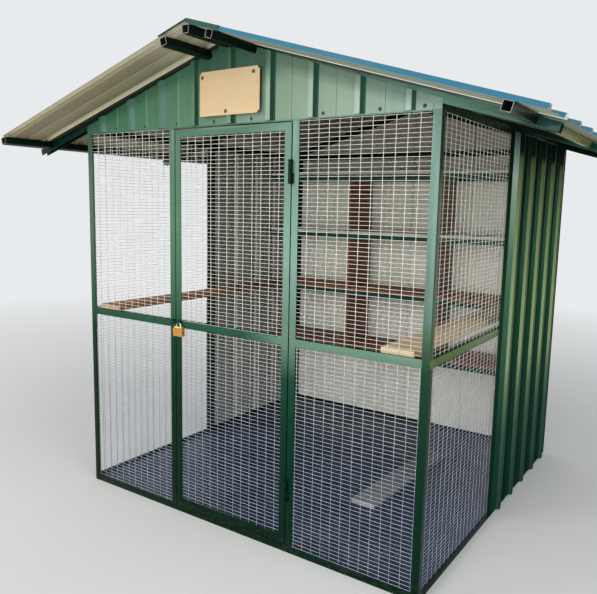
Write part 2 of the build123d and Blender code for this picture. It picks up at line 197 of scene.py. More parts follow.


# %% [markdown]
# ## Gloss paint that mirrors its surroundings
#
# The frame is welded from steel angle and painted by hand in moss green gloss. Out of doors
# such paint hardly shows its own colour. The front mirrors a bright sky in its upper half and
# dark ground below, the right side mirrors sunlit green, and the faces that look inwards stay
# nearly black. A plain studio has none of that around it, so the reflections and the shade are
# painted in: each direction gets a paint whose tone, graded along the height, is painted
# reflection and painted shade, and the mesh says which face wears which. On top come the
# things all of them share: slow drift, the ripple of a brush, and a dull splashed foot.

# %% Frame paints
def gloss(name, stops, left_shade_stops=None, coat=0.2, axis=2):
    paint = Finish(name, Coat_Roughness=0.12, Specular_IOR_Level=0.06)
    drift = paint.between(paint.noise(3.1, 3), 0.35, 0.65)
    ripple = paint.noise(240, 2, (1, 1, 0.12))
    foot = 1 - paint.between(paint.metres(2), 0.01, 0.10)
    splash = paint.between(paint.noise(45, 4), 0.45, 0.7) * foot
    # The graded tone is painted reflection and painted shade.
    tone = paint.graded(axis, stops)
    # Left of the door the front turns to a darker graded tone, and darker again towards the far left end:
    # painted shade.
    if left_shade_stops:
        left_shading = paint.between(paint.metres(0), 0.30, 0.08)
        tone = paint.blend(left_shading, tone, paint.graded(axis, left_shade_stops))
        left_end_shade = paint.between(paint.metres(0), -0.6, -0.95)
        tone = paint.blend(left_end_shade * 0.3, tone, (0.010, 0.012, 0.0))
    tone = paint.blend(drift * 0.16, tone, (0.006, 0.030, 0.015))
    paint.wear("Base Color", paint.blend(splash * 0.12, tone, (0.10, 0.10, 0.075)))
    paint.wear("Roughness", paint.noise(30, 3) * 0.14 + 0.20 + splash * 0.4)
    paint.wear("Coat Weight", paint.between(paint.metres(2), 0.8, 1.4) * coat)
    paint.bump(ripple, 0.0006, 0.35)
    return paint.material


front_gloss = gloss("moss_gloss_front", [
    (0.0, 1, 13, 6), (0.35, 1, 22, 11), (0.62, 3, 32, 17), (0.82, 10, 52, 32), (0.97, 115, 215, 152),
    (1.08, 135, 230, 172), (1.33, 190, 325, 270), (1.97, 150, 265, 210)],
    [(0.0, 1, 11, 4), (0.60, 2, 20, 8), (0.90, 6, 36, 17), (1.00, 18, 78, 44), (1.20, 50, 125, 75),
    (1.50, 82, 176, 106), (1.97, 82, 172, 116)])
# The front right post: a paler painted reflection high up.
corner_gloss = gloss("moss_gloss_corner", [
    (0.0, 1, 12, 6), (0.35, 1, 20, 10), (0.62, 3, 28, 14), (0.95, 10, 44, 24), (1.05, 38, 86, 52),
    (1.17, 88, 160, 122), (1.37, 140, 250, 215), (1.55, 172, 300, 250), (1.97, 170, 290, 240)])
right_gloss = gloss("moss_gloss_right", [
    (0.0, 1, 14, 8), (0.6, 6, 30, 10), (0.93, 20, 50, 16), (0.969, 22, 52, 16), (0.971, 92, 160, 36),
    (1.004, 92, 160, 36), (1.006, 45, 85, 28), (1.6, 60, 88, 26), (1.97, 10, 18, 6)])
outer_gloss = gloss("moss_gloss_outer", [(0.0, 4, 32, 16), (0.9, 16, 80, 43), (1.97, 32, 120, 72)])
# Painted shade, nearly black: faces that look inwards or down, the purlins and the hinges' knuckles.
shade_gloss = gloss("moss_gloss_shade", [(0.0, 2, 14, 8), (1.1, 3, 18, 10), (2.3, 2, 8, 5)], coat=0.05)
# The rack is darker towards the floor. The rafters and the right eave purlin are graded along their length:
# painted reflection where they face the open, painted shade under the roof and beside the purlins. The
# hinges and lock eyes turn paler higher up as painted reflection.
rack_gloss = gloss("moss_gloss_rack", [
    (0.0, 6, 34, 24), (1.1, 12, 60, 46), (1.9, 18, 70, 54)], coat=0.1)
rafter_gloss = gloss("moss_gloss_rafter", [
    (-1.42, 2, 22, 14), (-0.90, 3, 26, 16), (0.90, 125, 245, 190), (1.05, 110, 220, 170),
    (1.26, 68, 140, 106), (1.30, 18, 66, 58), (1.42, 18, 66, 58)], coat=0.1, axis=0)
far_rafter_gloss = gloss("moss_gloss_far_rafter", [
    (-1.42, 2, 14, 9), (1.20, 3, 14, 9), (1.28, 12, 62, 56), (1.42, 14, 68, 60)], coat=0.1, axis=0)
eave_gloss = gloss("moss_gloss_eave", [
    (-1.30, 30, 40, 20), (-1.18, 20, 30, 15), (-1.06, 2, 4, 3), (-1.00, 4, 8, 4), (-0.94, 190, 205, 56),
    (0.10, 270, 275, 60), (1.15, 20, 24, 14)], coat=0.05, axis=1)
hinge_gloss = gloss("moss_gloss_hinge", [(0.0, 3, 22, 11), (1.0, 16, 62, 36), (2.0, 90, 180, 130)])
frame_skins = [front_gloss, right_gloss, outer_gloss, shade_gloss, rafter_gloss, far_rafter_gloss,
               corner_gloss]
print("frame paints ready")

# %% [markdown]
# ## Colour coated sheet
#
# The walls and the roof are one product: thin steel rolled into ribs, coated green or blue
# outside and with a pale primer inside. A coated coil is very even, so the tone hardly drifts.
# What gives it away is the sheen, a faint streak down the rolling direction and the dust that
# rain leaves in the pans. Flanks, rib tops and pans of one sheet mirror different things, so
# they get sister finishes of painted reflection and painted shade. Painted shade darkens the
# gable under the roof, and painted light brightens the roof's underside near the gable. The
# two faces of a sheet differ too: again the mesh decides.

# %% Coated sheet finishes
slope, ridge_soffit = 0.30, 2.3060   # rise of the roof over its run, underside of its sheet at the ridge
gable_face = -1.01                   # front of the frame, on which the gable sheet lies


def coated(name, stops, axis, streak, rough, dust=0.12, gleam=0.2, eave_shade=0.0, thrown_light=0.0):
    skin = Finish(name, Specular_IOR_Level=gleam)
    lines = skin.between(skin.noise(24, 3, streak), 0.3, 0.75)
    film = skin.between(skin.noise(5.5, 4), 0.45, 0.8) * dust
    tone = skin.graded(axis, stops)
    if eave_shade:
        # Painted shade under the edge of the roof, deepest under the ridge.
        aside = skin.metres(0).math("ABSOLUTE")
        under_roof = 1 - skin.between(ridge_soffit - skin.metres(2) - aside * slope, 0.045, 0.090)
        under_ridge = skin.between(skin.metres(2), 2.09, 2.17) * skin.between(aside, 0.34, 0.20)
        shade = (under_roof * eave_shade).math("MAXIMUM", under_ridge * 0.75)
        tone = skin.blend(shade, tone, (0.014, 0.072, 0.041))
    if thrown_light:
        # Painted light near the gable, as if thrown up from below.
        back = skin.metres(1)
        near = skin.between(back, -1.24, -1.10) * skin.between(back, gable_face + 0.05, gable_face)
        gain = {0: tone, "Scale": near * thrown_light + 1}
        tone = skin.node("ShaderNodeVectorMath", {"operation": "SCALE"}, gain)
    tone = skin.blend(lines * 0.10, tone, (0.06, 0.09, 0.06))
    skin.wear("Base Color", skin.blend(film, tone, (0.34, 0.33, 0.28)))
    skin.wear("Roughness", skin.noise(90, 2) * 0.12 + rough + film * 0.8)
    skin.bump(skin.noise(420, 2), 0.0003, 0.25)
    return skin.material


upright, downhill = (1, 1, 0.05), (0.06, 1, 0.06)
# The gable runs from dark at the left to pale at the right as painted reflection. Its flanks carry a dark
# painted reflection, bluish at the left, and its lit copy carries painted highlights.
gable_green = coated("gable_coat", [
    (-1.0, 46, 138, 80), (-0.60, 62, 165, 97), (-0.35, 70, 170, 100), (-0.10, 100, 202, 130),
    (0.10, 165, 262, 190), (0.30, 200, 290, 212), (0.60, 272, 352, 278), (0.80, 250, 352, 290),
    (1.0, 330, 460, 400)], 0, upright, 0.24, 0.03, 0.15, 0.45)
gable_flank = coated("gable_coat_flank", [
    (-1.0, 125, 235, 205), (-0.42, 130, 225, 215), (-0.30, 10, 52, 30), (0.3, 8, 50, 30),
    (1.0, 30, 95, 62)], 0, upright, 0.3, 0.02, 0.1, 0.5)
gable_lit = coated("gable_coat_lit", [
    (-1.0, 190, 320, 240), (-0.2, 190, 320, 240), (0.0, 200, 300, 230), (0.25, 270, 370, 285),
    (0.6, 350, 450, 360), (1.0, 400, 540, 470)], 0, upright, 0.24, 0.03, 0.15, 0.45)
# Graded by height: darker towards the foot, and painted shade under the eave.
wall_green = coated("wall_coat", [
    (0.0, 8, 50, 33), (0.9, 16, 90, 60), (1.7, 27, 125, 86), (1.97, 16, 75, 50)], 2, upright, 0.26,
    0.08, 0.3)
# Copies of one coat for the right wall, all nearly black under the eave as painted shade: painted shade
# beside the ribs and on the first half of each pan, a bright green painted reflection on the front flanks,
# painted highlights on the rib tops, a painted reflection of the sky on the second half of each pan, and a
# pale painted reflection on the strip by the post.
wall_shade = coated("wall_coat_shade", [
    (0.0, 2, 20, 13), (0.42, 3, 25, 17), (1.10, 10, 44, 18), (1.37, 7, 32, 13), (1.75, 4, 19, 6),
    (1.97, 1, 6, 3)], 2, upright, 0.5, 0.01, 0.0)
wall_flank_reflection = coated("wall_coat_flank_reflection", [
    (0.0, 20, 60, 38), (0.42, 38, 104, 66), (0.62, 120, 190, 100), (0.80, 290, 380, 200),
    (1.10, 270, 380, 170), (1.37, 240, 330, 155), (1.60, 230, 310, 140), (1.75, 180, 250, 95),
    (1.83, 120, 165, 60), (1.87, 2, 10, 6), (1.97, 1, 6, 3)], 2, upright, 0.4, 0.02, 0.05)
wall_top = coated("wall_coat_rib_top", [
    (0.0, 6, 30, 18), (0.42, 12, 45, 26), (1.10, 75, 120, 55), (1.37, 40, 80, 32), (1.75, 110, 155, 58),
    (1.83, 80, 110, 40), (1.87, 2, 10, 6), (1.97, 1, 6, 3)], 2, upright, 0.4, 0.02, 0.05)
wall_sky_reflection = coated("wall_coat_sky_reflection", [
    (0.0, 4, 30, 20), (0.42, 6, 38, 25), (1.10, 14, 68, 34), (1.37, 34, 108, 62), (1.75, 38, 100, 60),
    (1.85, 12, 36, 24), (1.97, 1, 6, 4)], 2, upright, 0.5, 0.01, 0.0)
wall_pale_reflection = coated("wall_coat_pale_reflection", [
    (0.0, 6, 40, 26), (0.42, 10, 53, 32), (1.10, 55, 150, 95), (1.37, 115, 235, 140),
    (1.58, 300, 460, 330), (1.75, 590, 760, 650), (1.88, 220, 380, 340), (1.97, 50, 70, 60)], 2,
    upright, 0.4, 0.01, 0.0)
cap_green = coated("cap_coat", [(-1.3, 20, 78, 56), (1.3, 20, 78, 56)], 1, downhill, 0.4, 0.04, 0.1)
# The primer inside darkens near the top under the roof: painted shade. Its shaded copy and a nearly black
# one paint shade inside and the shadow behind the post.
inner_stops = [(0.0, 820, 820, 760), (1.2, 820, 820, 730), (1.78, 760, 760, 660), (2.0, 480, 440, 360)]
wall_inner = coated("wall_primer", inner_stops, 2, upright, 0.42, 0.15)
shaded_stops = [(z, *((0.50 - 0.04 * z) * c for c in tone)) for z, *tone in inner_stops]
shaded_inner = coated("wall_primer_shaded", shaded_stops, 2, upright, 0.42, 0.10, 0.1)
shadow_inner = coated("wall_primer_shadow", [
    (0.0, 20, 22, 20), (2.0, 16, 18, 14)], 2, upright, 0.5, 0.05, 0.0)
roof_blue = coated("roof_coat", [
    (-1.3, 28, 150, 235), (1.3, 28, 150, 235)], 1, downhill, 0.34, 0.06, 0.2)
# The primer below the roof in lit and shaded copies: pans darker than the cream rib tops as painted shade,
# and both lighter towards the right as painted light.
roof_inner = coated("roof_primer", [
    (-1.4, 258, 229, 142), (-0.35, 258, 229, 144), (-0.20, 360, 325, 240), (0.0, 360, 325, 240),
    (0.35, 310, 340, 270), (1.4, 340, 380, 300)], 0, downhill, 0.45, 0.10, 0.1, thrown_light=0.40)
roof_cream_lit = coated("roof_primer_cream_lit", [
    (-1.4, 620, 580, 380), (0.0, 620, 580, 420), (0.4, 780, 830, 740), (1.4, 820, 880, 800)], 0,
    downhill, 0.45, 0.10, 0.1, thrown_light=0.15)
roof_shade = coated("roof_primer_shade", [
    (-1.4, 45, 43, 26), (1.4, 35, 42, 30)], 0, downhill, 0.5, 0.05, 0.0)
print("sheet finishes ready")

# %% [markdown]
# ## Zinc wire
#
# Welded mesh is zinc dipped after welding. Zinc dulls to a soft pale grey within weeks, with
# brighter flecks where it is rubbed. Towards the ground the tone is painted bluer and darker as
# painted shade, the uprights darker than the cross wires. No pattern shows on one wire of two
# millimetres, but many wires together must not all shine alike, so tone and roughness vary
# from hand to hand along the panel.

# %% Wire finish
def zinc(name, pale, dull, low_shade_pale, low_shade_dull):
    coat = Finish(name, Specular_IOR_Level=0.5)
    patch = coat.between(coat.noise(11, 3), 0.35, 0.7)
    fleck = coat.between(coat.noise(240, 2), 0.45, 0.7)
    # Painted shade: towards the ground the tone turns bluer and darker.
    high = coat.between(coat.metres(2), 0.55, 1.15)
    share = patch * 0.6 + fleck * 0.4
    low_shade_tone, high_tone = coat.blend(share, low_shade_dull, low_shade_pale), coat.blend(share, dull, pale)
    coat.wear("Base Color", coat.blend(high, low_shade_tone, high_tone))
    coat.wear("Metallic", fleck * 0.2 + 0.1)
    coat.wear("Roughness", 0.5 - patch * 0.18 + fleck * 0.1)
    coat.bump(coat.noise(900, 2), 0.0002, 0.3)
    return coat.material


fresh_zinc = (0.95, 0.95, 0.88)
wire_zinc = zinc("zinc_wire", fresh_zinc, (0.74, 0.74, 0.66), (0.62, 0.68, 0.82), (0.33, 0.37, 0.46))
upright_zinc = zinc("zinc_upright", fresh_zinc, (0.72, 0.72, 0.64), (0.44, 0.48, 0.58), (0.20, 0.23, 0.29))
print("wire finish ready")

# %% [markdown]
# ## Sawn boards
#
# Wood is read by its grain: long fibres, slow dark bands where the saw crosses the year rings,
# and now and then a knot. Noise that is squeezed along the length of the board gives fibres at
# one scale and bands at another. The direction has to follow each board, so the function takes
# the axis that the board runs along.

# %% Wood finishes
def board_wood(name, pale, dark, along, rough=0.6, soil=(0.10, 0.08, 0.06), soiling=0.25):
    wood = Finish(name)
    band_stretch, fibre_stretch = (
        [squeeze if k == along else 1.0 for k in range(3)] for squeeze in (0.06, 0.03))
    bands = wood.between(wood.noise(26, 4, band_stretch, 0.6), 0.32, 0.68)
    fibres = wood.noise(310, 4, fibre_stretch, 0.65)
    dirt = wood.between(wood.noise(7, 5), 0.5, 0.75) * soiling
    grain = (bands * 0.65 + fibres * 0.5 - 0.1).clamp()
    wood.wear("Base Color", wood.blend(dirt, wood.blend(grain, pale, dark), soil))
    wood.wear("Roughness", fibres * 0.2 + rough)
    wood.bump(fibres * 0.7 + bands * 0.3, 0.0012, 0.5)
    return wood.material


stained_x = board_wood("stained_board_across", (0.345, 0.124, 0.050), (0.178, 0.056, 0.024), 0)
stained_y = board_wood("stained_board_deep", (0.375, 0.143, 0.052), (0.195, 0.066, 0.025), 1)
stained_z = board_wood("stained_board_upright", (0.300, 0.115, 0.058), (0.165, 0.054, 0.026), 2)
golden_z = board_wood("golden_board_upright", (0.360, 0.190, 0.060), (0.200, 0.090, 0.028), 2)
pale_y = board_wood(
    "bare_board_deep", (0.61, 0.47, 0.30), (0.43, 0.31, 0.185), 1, 0.7, (0.32, 0.27, 0.20), 0.3)
plank_y = board_wood(
    "soiled_board_deep", (0.23, 0.24, 0.24), (0.13, 0.135, 0.14), 1, 0.75, (0.08, 0.085, 0.09), 0.6)
plank_end = board_wood(
    "soiled_board_end", (0.52, 0.50, 0.44), (0.36, 0.34, 0.29), 0, 0.75, (0.3, 0.3, 0.28), 0.3)
shelf_white = board_wood(
    "whitened_board_across", (0.70, 0.70, 0.61), (0.58, 0.58, 0.50), 0, 0.6, (0.4, 0.4, 0.34), 0.3)
end_grain = board_wood(
    "bare_board_end", (0.59, 0.49, 0.32), (0.45, 0.34, 0.20), 0, 0.75, (0.4, 0.33, 0.25), 0.2)
end_worn = board_wood(
    "worn_board_end", (0.41, 0.33, 0.20), (0.31, 0.23, 0.13), 0, 0.75, (0.25, 0.2, 0.15), 0.3)
plaque_rim = board_wood(
    "plaque_rim", (0.82, 0.68, 0.46), (0.74, 0.58, 0.37), 0, 0.32, (0.6, 0.46, 0.3), 0.1)
plaque_tan = board_wood(
    "plaque_board", (0.60, 0.44, 0.25), (0.52, 0.365, 0.20), 0, 0.32, (0.45, 0.33, 0.2), 0.15)
print("wood finishes ready")

# %% [markdown]
# ## The floor board
#
# The floor inside is a dark board with a hard coating. Use has scuffed it, dust and pale
# specks gather on it in soft patches, and the coating keeps a weak shine between them. Dust is
# a colour and a roughness at once, so one mask drives both.

# %% Floor finish
coat = Finish("floor_coat", Specular_IOR_Level=0.35)
specks = coat.between(coat.noise(160, 3), 0.62, 0.70)
drifted = coat.between(coat.noise(3.2, 5), 0.42, 0.72)
board_tone = coat.blend(coat.noise(14, 3), (0.0135, 0.027, 0.052), (0.0245, 0.043, 0.078))
dusty = coat.blend(drifted * 0.25, board_tone, (0.088, 0.122, 0.172))
coat.wear("Base Color", coat.blend(specks * drifted * 0.8, dusty, (0.46, 0.42, 0.34)))
coat.wear("Roughness", drifted * 0.3 + 0.42)
coat.bump(coat.noise(500, 2) + specks * 0.6, 0.001, 0.5)
floor_board = coat.material
print("floor finish ready")

# %% [markdown]
# ## Metal for the small parts
#
# Screws, the padlock and its shackle are bare or plated metal. Each gets its tone, a patchy
# tarnish and fine scratches in the bump, from one function with different numbers.

# %% Small metal finishes
def plated(name, tone, tarnish, amount, rough, metal=1.0, scale=60):
    coat = Finish(name, Metallic=metal)
    patch = coat.between(coat.noise(scale, 4), 0.4, 0.7)
    coat.wear("Base Color", coat.blend(patch * amount, tone, tarnish))
    coat.wear("Roughness", patch * 0.25 + rough)
    coat.bump(coat.noise(scale * 12, 2), 0.0002, 0.4)
    return coat.material


screw_steel = plated("screw_plated", (0.58, 0.58, 0.55), (0.30, 0.27, 0.22), 0.6, 0.35)
screw_green = plated("screw_painted", (0.030, 0.062, 0.045), (0.012, 0.030, 0.021), 0.6, 0.55, 0.0)
screw_dark = plated("screw_dark", (0.008, 0.012, 0.006), (0.004, 0.005, 0.003), 0.6, 0.6, 0.0)
# The padlock's shoulder is painted bright as a highlight, and its body darker, partly tarnish and partly
# painted shade.
brass_highlight = plated("brass_highlight", (0.95, 0.72, 0.13), (0.70, 0.45, 0.08), 0.35, 0.30, 0.6)
brass_worn_shaded = plated("brass_worn_shaded", (0.62, 0.32, 0.07), (0.32, 0.11, 0.035), 1.0, 0.36, 0.6, 110)
shackle_steel = plated("shackle_steel", (0.72, 0.71, 0.68), (0.35, 0.31, 0.26), 0.4, 0.25)
washer_rubber = plated("washer_rubber", (0.020, 0.022, 0.020), (0.06, 0.06, 0.05), 0.5, 0.6, 0.0)
cut_steel = plated("cut_steel", (0.26, 0.28, 0.25), (0.10, 0.10, 0.08), 0.7, 0.5, 0.1)
tube_inside = plated("tube_inside", (0.012, 0.012, 0.010), (0.03, 0.022, 0.015), 0.5, 0.8, 0.0)
print("small metal finishes ready")

# %% [markdown]
# ## From a bmesh to a piece
#
# Every new piece goes the same way: its faces are made in a bmesh, become a mesh, get their
# finishes, and ride on the body that carries the real piece. Curved and flat faces meet in
# most of them, so faces are smooth and edges over a chosen angle stay sharp.

# %% Make a piece
def piece(name, bm, finishes, body, stands_for=(), sharp=35):
    mesh = bpy.data.meshes.new(name)
    bm.to_mesh(mesh)
    bm.free()
    for finish in finishes:
        mesh.materials.append(finish)
    mesh.polygons.foreach_set("use_smooth", [True] * len(mesh.polygons))
    mesh.set_sharp_from_angle(angle=math.radians(sharp))
    thing = bpy.data.objects.new(name, mesh)
    bpy.context.scene.collection.objects.link(thing)
    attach(thing, body)
    if stands_for:
        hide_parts(*stands_for)
    print(name, "faces", len(mesh.polygons))


# %% [markdown]
# ## Edges that catch the light
#
# The construction solids have edges like knives, and rolled steel and sawn board have none.
# Each solid is copied, its doubled points are welded, its flat triangles are joined into whole
# faces, and every sharp edge gets a narrow round. The inner corner of an angle bar is rounded
# by the same step, as it is when the bar is rolled. In a picture that is a thin bright line
# along each bar, and without it the frame looks cut from card.

# %% A node's own shape with eased edges
def solids_of(node):
    """The construction mesh of a node with its doubled points welded."""
    bm = bmesh.new()
    bm.from_mesh(nodes[node].data)
    bmesh.ops.remove_doubles(bm, verts=bm.verts, dist=1e-6)
    return bm


def eased(node, width=0.001):
    bm = solids_of(node)
    bmesh.ops.dissolve_limit(bm, angle_limit=math.radians(1), verts=bm.verts, edges=bm.edges)
    bmesh.ops.recalc_face_normals(bm, faces=bm.faces)
    edges = [e for e in bm.edges if len(e.link_faces) == 2 and e.calc_face_angle() > math.radians(30)]
    bmesh.ops.bevel(bm, geom=edges, offset=width, segments=2, profile=0.5,
                    affect="EDGES", clamp_overlap=True)
    bm.normal_update()
    for face in bm.faces:
        face.material_index = 0
    return bm


def paint_of(node, face):
    """Which frame paint a face wears, from the way it looks and how far out it lies."""
    facing, outer_x, outer_y = 0.6, 0.97, 0.99
    middle, look = face.calc_center_median(), face.normal
    in_front = look.y < -facing and middle.y < -outer_y
    if node == "rafters_front":
        return rafter_gloss if in_front else shade_gloss
    if node.startswith("rafters"):
        return far_rafter_gloss
    if in_front:
        return corner_gloss if node == "post_front_right" else front_gloss
    if look.x > facing and middle.x > outer_x:
        return right_gloss
    if (look.x < -facing and middle.x < -outer_x) or (look.y > facing and middle.y > outer_y):
        return outer_gloss
    return shade_gloss


# %% Dress the bars of steel angle
angle_bars = [
    "post_front_left", "post_front_right", "post_rear_left", "post_rear_right", "front_sill",
    "rear_sill", "side_sills", "top_rail_front", "top_rail_rear", "top_rails_side",
    "door_post_left", "door_post_right", "side_posts", "front_mid_rails", "side_mid_rails",
    "rear_mid_rail", "rafters_front", "rafters_middle", "rafters_rear", "door_frame"]
for node in angle_bars:
    bm = eased(node)
    for face in bm.faces:
        face.material_index = frame_skins.index(paint_of(node, face))
    body = "door" if node == "door_frame" else "house"
    piece(node + "_bar", bm, frame_skins, body, [node])

# %% [markdown]
# ## Weld beads
#
# Each corner of the frame is a short weld, ground nearly flush and painted over. What is left
# is a low, lumpy ridge across the joint. The door's own frame is mitred, so its beads run
# slantwise over the corners. Half of each bead lies in the steel.

# %% Rings of points
def ring(bm, centre, u, v, sides):
    """Points round a centre. The lengths of u and v are the two radii."""
    turns = (2 * math.pi * k / sides for k in range(sides))
    return [bm.verts.new(centre + u * math.cos(a) + v * math.sin(a)) for a in turns]


def join_rings(bm, rings, skin=0):
    for a, b in zip(rings, rings[1:]):
        for k in range(len(a)):
            j = (k + 1) % len(a)
            bm.faces.new((a[k], a[j], b[j], b[k])).material_index = skin


def close_ends(bm, rings):
    bm.faces.new(rings[0][::-1])
    bm.faces.new(rings[-1])


# %% Beads
def add_bead(bm, start, end, radius=0.0021, seed=0):
    """A lumpy ridge in the plane of the front, wider than it is high, with pinched ends."""
    along, outward = end - start, Vector((0, 1, 0))
    steps = max(5, round(along.length / 0.004))
    aside = along.normalized().cross(outward).normalized()
    rings = []
    for k in range(steps + 1):
        lump = 1 + 0.22 * math.sin(k * 2.1 + seed) + 0.15 * noise.noise(start * 40 + Vector((k, seed, 0)))
        size = radius * lump * (0.4 if k in (0, steps) else 1)
        centre = start + along * (k / steps)
        rings.append(ring(bm, centre, aside * 1.5 * size, outward * 0.55 * size, 8))
    join_rings(bm, rings)
    close_ends(bm, rings)


bar = 0.035
rail_low, rail_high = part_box("front_mid_rails")
top_low, top_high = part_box("top_rail_front")
left_post, right_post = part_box("door_post_left"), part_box("door_post_right")
face_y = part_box("front_sill")[0].y - 0.0002
bm = bmesh.new()
upright_joints = [(x, z) for x in (rail_low.x, rail_high.x)
                  for z in ((0.001, bar), (rail_low.z, rail_high.z), (top_low.z, top_high.z))]
upright_joints += [(x, (rail_low.z, rail_high.z)) for x in (left_post[0].x, right_post[1].x)]
for k, (x, (z0, z1)) in enumerate(upright_joints):
    add_bead(bm, Vector((x, face_y, z0)), Vector((x, face_y, z1)), seed=k)
for k, (low, high) in enumerate((left_post, right_post)):
    for z in (low.z, high.z):
        add_bead(bm, Vector((low.x, face_y, z)), Vector((high.x, face_y, z)), seed=20 + k)
bmesh.ops.recalc_face_normals(bm, faces=bm.faces)
piece("frame_weld_beads", bm, [front_gloss], "house", sharp=80)

door_low, door_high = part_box("door_frame")
door_bead = 0.0017
bm = bmesh.new()
for x, inward_x in ((door_low.x, 1), (door_high.x, -1)):
    for z, inward_z in ((door_low.z, 1), (door_high.z, -1)):
        ends = [Vector((x + inward_x * step, face_y, z + inward_z * step)) for step in (0.002, bar)]
        add_bead(bm, *ends, door_bead, seed=inward_z)
    ends = [Vector((x + inward_x * bar, face_y, z)) for z in (rail_low.z, rail_high.z)]
    add_bead(bm, *ends, door_bead, seed=7)
bmesh.ops.recalc_face_normals(bm, faces=bm.faces)
piece("door_weld_beads", bm, [front_gloss], "door", sharp=80)

# %% [markdown]
# ## Reading the solids of a node
#
# Some nodes hold several like pieces, such as both purlins beside the ridge. To dress each
# one, its own corners are needed. Faces that hang together are walked as one island.

# %% Boxes of the separate solids in a node
def solid_boxes(node):
    bm = solids_of(node)
    seen, boxes = set(), []
    for start in bm.verts:
        if start in seen:
            continue
        island, front = [], [start]
        seen.add(start)
        while front:
            v = front.pop()
            island.append(v.co.copy())
            for e in v.link_edges:
                other = e.other_vert(v)
                if other not in seen:
                    seen.add(other)
                    front.append(other)
        low = Vector([min(p[k] for p in island) for k in range(3)])
        high = Vector([max(p[k] for p in island) for k in range(3)])
        boxes.append((low, high))
    bm.free()
    return boxes


print("eave purlins", [[tuple(round(c, 3) for c in p) for p in b] for b in solid_boxes("purlins_eave")])

# %% [markdown]
# ## Purlins of square tube
#
# The roof rests on five square tubes. Such tube is rolled from strip, so its corners have a
# radius of about one and a half walls, and its sawn ends stay bare and show how thin it is.
# The section is drawn once with its four arcs, and swept straight from end to end. The tubes
# away from the ridge lie flat on the slope, which rises 3 in 10. The box around a tilted tube
# still has its middle on the tube's axis.

# %% Tube
def rounded_outline(x0, x1, z0, z1, radius, steps=4):
    """A rectangle with round corners."""
    points = []
    for k, (cx, cz) in enumerate(((x1 - radius, z1 - radius), (x0 + radius, z1 - radius),
                                  (x0 + radius, z0 + radius), (x1 - radius, z0 + radius))):
        for j in range(steps + 1):
            a = math.radians(90 * k + 90 * j / steps)
            points.append((cx + radius * math.cos(a), cz + radius * math.sin(a)))
    return points


def add_tube(bm, start, end, up, size=bar, wall=0.002, radius=0.003):
    """A hollow tube from start to end, with one side facing up, painted outside only."""
    along = (end - start).normalized()
    v = (up - along * up.dot(along)).normalized()
    u = v.cross(along)
    rings = []
    for point in (start, end):
        for half, bend in ((size / 2, radius), (size / 2 - wall, radius - wall * 0.6)):
            outline = rounded_outline(-half, half, -half, half, bend, 3)
            rings.append([bm.verts.new(point + u * a + v * b) for a, b in outline])
    out0, in0, out1, in1 = rings
    for first, second, skin in ((out0, out1, 0), (in0, in1, 2), (out0, in0, 1), (out1, in1, 1)):
        join_rings(bm, [first, second], skin)


# %% Dress the purlins
def roof_up(side):
    """The direction square to the roof: on the left for -1, on the right for 1, at the ridge for 0."""
    return Vector((slope * side, 0, 1)).normalized()


tube_finishes = [shade_gloss, cut_steel, tube_inside, eave_gloss]   # outside in painted shade, sawn ends, inside, right eave with painted reflection
for node in ("purlin_ridge", "purlins_near_ridge", "purlins_eave"):
    bm = bmesh.new()
    for low, high in solid_boxes(node):
        middle = (low + high) / 2
        side = 0 if abs(middle.x) < 0.01 else math.copysign(1, middle.x)
        ends = [Vector((middle.x, y, middle.z)) for y in (low.y, high.y)]
        add_tube(bm, *ends, roof_up(side))
    bmesh.ops.recalc_face_normals(bm, faces=bm.faces)
    for face in bm.faces:
        at_eave, look = face.calc_center_median().x > 1, face.normal
        if face.material_index == 0 and at_eave and look.x - look.z > 0.6:
            face.material_index = tube_finishes.index(eave_gloss)
    piece(node + "_tube", bm, tube_finishes, "house", [node])

# %% [markdown]
# ## Welded mesh
#
# The mesh has upright wires nearly 50 mm apart and cross wires every 18 mm, welded where they
# touch. The construction model thins it out; here every wire is made. A texture with holes
# would be quicker, but it has no thickness from the side and no wire in front of the other.
# Each wire is a six sided rod with a bend every hand's width: stretched mesh is never quite
# straight, and the small bends break up the shine. The mesh was cut from a roll without
# counting, so each field starts at its own place between two wires.

# %% Wires
wire_radius, row_radius = 0.00118, 0.00085
wire_wander, row_wander = 0.0018, 0.0012


def wander(point, seed, amount):
    """A small sideways shift that changes slowly along a wire."""
    shifts = Vector((seed, 0, 0)), Vector((0, seed, 7)), Vector((5, 3, seed))
    return Vector([noise.noise(point * 2.1 + shift) for shift in shifts]) * amount


def add_wire(bm, start, end, radius, seed, amount, skin=0):
    along = end - start
    steps = max(2, round(along.length / 0.09))
    u = along.normalized().orthogonal().normalized()
    v = along.normalized().cross(u)
    rings = []
    for k in range(steps + 1):
        centre = start + along * (k / steps)
        if 0 < k < steps:
            centre += wander(centre, seed, amount)
        rings.append(ring(bm, centre, u * radius, v * radius, 6))
    join_rings(bm, rings, skin)
    close_ends(bm, rings)


def wire_places(low, high, pitch, one):
    """Every place a whole number of pitches from one known wire, inside the two edges."""
    place = one - math.floor((one - low - wire_radius) / pitch) * pitch
    found = []
    while place < high - wire_radius:
        found.append(place)
        place += pitch
    return found


